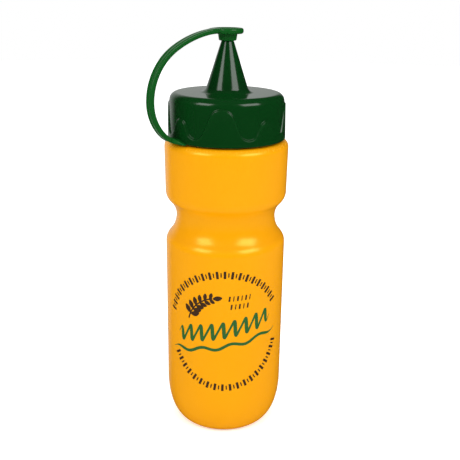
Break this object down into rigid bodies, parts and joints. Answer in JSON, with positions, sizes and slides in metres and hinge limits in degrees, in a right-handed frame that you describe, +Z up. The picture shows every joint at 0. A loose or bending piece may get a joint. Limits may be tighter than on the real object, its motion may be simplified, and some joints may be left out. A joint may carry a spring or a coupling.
{
  "type": "squeeze sauce bottle",
  "caption": "Round squeeze bottle with a waist groove, a screw lid with a conical nozzle, and a small tip cap held to the lid by a curved strap.",
  "frame": {"origin": "centre of the base, on the plane that the bottle stands on", "axes": "+Z up along the bottle's axis; -Y to the front, where the print is; +X to the right as seen from the front"},
  "size_m": [0.0813, 0.0742, 0.2478],
  "materials": {
    "bottle_plastic": null,
    "lid_plastic": "glossy moulded plastic, dark green",
    "strap_plastic": "glossy soft moulded plastic, mid green",
    "seal_foam": "matt closed-cell foam, off-white"
  },
  "bodies": {
    "bottle": {"bottle": "bottle_plastic"},
    "neck_seal": {"neck_seal": "seal_foam"},
    "screw_lid": {"screw_lid": "lid_plastic"},
    "strap_link_1": {"strap_link_1": "strap_plastic"},
    "strap_link_2": {"strap_link_2": "strap_plastic"},
    "strap_link_3": {"strap_link_3": "strap_plastic"},
    "strap_link_4": {"strap_link_4": "strap_plastic"},
    "strap_link_5": {"strap_link_5": "strap_plastic"},
    "strap_link_6": {"strap_link_6": "strap_plastic"},
    "strap_link_7": {"strap_link_7": "strap_plastic"},
    "strap_link_8": {"strap_link_8": "strap_plastic"},
    "tip_cap": {"tip_cap": "strap_plastic"}
  },
  "joints": [
    {"name": "lid_lift", "type": "slide", "parent": "bottle", "child": "neck_seal", "axis": [0, 0, 1], "range_m": [0, 0.011]},
    {"name": "lid_turn", "type": "hinge", "parent": "neck_seal", "child": "screw_lid", "pos_m": [0, 0, 0.1853], "axis": [0, 0, 1], "range_deg": [0, 792]},
    {"name": "strap_bend_1", "type": "hinge", "parent": "screw_lid", "child": "strap_link_1", "pos_m": [-0.03639, -0.02548, 0.18919], "axis": [0.5736, -0.8192, 0], "range_deg": [0, 18]},
    {"name": "strap_bend_2", "type": "hinge", "parent": "strap_link_1", "child": "strap_link_2", "pos_m": [-0.04126, -0.02889, 0.19808], "axis": [0.5736, -0.8192, 0], "range_deg": [0, 18]},
    {"name": "strap_bend_3", "type": "hinge", "parent": "strap_link_2", "child": "strap_link_3", "pos_m": [-0.04297, -0.03008, 0.20856], "axis": [0.5736, -0.8192, 0], "range_deg": [0, 18]},
    {"name": "strap_bend_4", "type": "hinge", "parent": "strap_link_3", "child": "strap_link_4", "pos_m": [-0.04133, -0.02894, 0.22028], "axis": [0.5736, -0.8192, 0], "range_deg": [0, 18]},
    {"name": "strap_bend_5", "type": "hinge", "parent": "strap_link_4", "child": "strap_link_5", "pos_m": [-0.03661, -0.02563, 0.23068], "axis": [0.5736, -0.8192, 0], "range_deg": [0, 18]},
    {"name": "strap_bend_6", "type": "hinge", "parent": "strap_link_5", "child": "strap_link_6", "pos_m": [-0.02933, -0.02054, 0.23858], "axis": [0.5736, -0.8192, 0], "range_deg": [0, 18]},
    {"name": "strap_bend_7", "type": "hinge", "parent": "strap_link_6", "child": "strap_link_7", "pos_m": [-0.02256, -0.0158, 0.24291], "axis": [0.5736, -0.8192, 0], "range_deg": [0, 18]},
    {"name": "strap_bend_8", "type": "hinge", "parent": "strap_link_7", "child": "strap_link_8", "pos_m": [-0.01534, -0.01074, 0.24594], "axis": [0.5736, -0.8192, 0], "range_deg": [0, 18]},
    {"name": "cap_tilt", "type": "hinge", "parent": "strap_link_8", "child": "tip_cap", "pos_m": [-0.00782, -0.00547, 0.24759], "axis": [0.5736, -0.8192, 0], "range_deg": [0, 18]}
  ],
  "couplings": [
    {"joint": "lid_turn", "follows": "lid_lift", "rad_per_m": 1256.6},
    {"joint": "strap_bend_1", "follows": "strap_bend_4", "ratio": 1},
    {"joint": "strap_bend_2", "follows": "strap_bend_4", "ratio": 1},
    {"joint": "strap_bend_3", "follows": "strap_bend_4", "ratio": 1},
    {"joint": "strap_bend_5", "follows": "strap_bend_4", "ratio": 1},
    {"joint": "strap_bend_6", "follows": "strap_bend_4", "ratio": 1},
    {"joint": "strap_bend_7", "follows": "strap_bend_4", "ratio": 1},
    {"joint": "strap_bend_8", "follows": "strap_bend_4", "ratio": 1},
    {"joint": "cap_tilt", "follows": "strap_bend_4", "ratio": 1}
  ]
}
